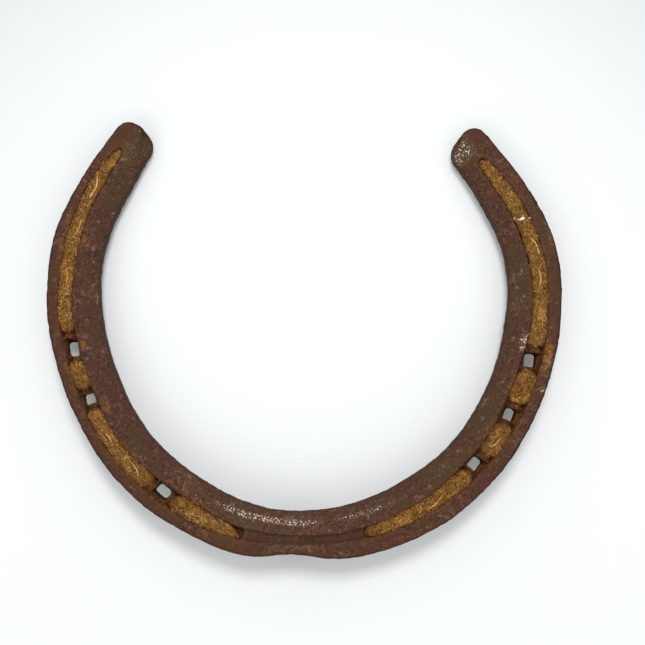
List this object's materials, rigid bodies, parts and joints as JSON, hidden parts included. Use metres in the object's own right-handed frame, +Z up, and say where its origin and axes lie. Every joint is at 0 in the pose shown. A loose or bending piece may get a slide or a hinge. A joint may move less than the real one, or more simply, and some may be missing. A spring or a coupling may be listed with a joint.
{
  "type": "horseshoe",
  "caption": "Worn forged horseshoe with a creased, concave bar, an upright toe clip, oblong nail holes, and soil and straw packed in the crease, lying ground side up.",
  "frame": {"origin": "middle of the bounding box's bottom, on the surface that both heels and the tip of the toe clip touch", "axes": "+Z up, with the creased ground face up; toe to -Y, heels to +Y, +X to the right seen from above"},
  "size_m": [0.181, 0.1534, 0.0208],
  "materials": {
    "rusty_steel": "matte",
    "packed_soil": "matte",
    "straw": "matte",
    "chaff": "matte"
  },
  "bodies": {
    "root": {"horseshoe": "rusty_steel", "packing_left_heel": "packed_soil", "packing_left_quarter": "packed_soil", "packing_left_side": "packed_soil", "packing_left_toe": "packed_soil", "packing_right_toe": "packed_soil", "packing_right_side": "packed_soil", "packing_right_quarter": "packed_soil", "packing_right_heel": "packed_soil", "straw_left": "straw", "straw_right": "straw", "chaff_scale": "chaff"}
  },
  "joints": []
}
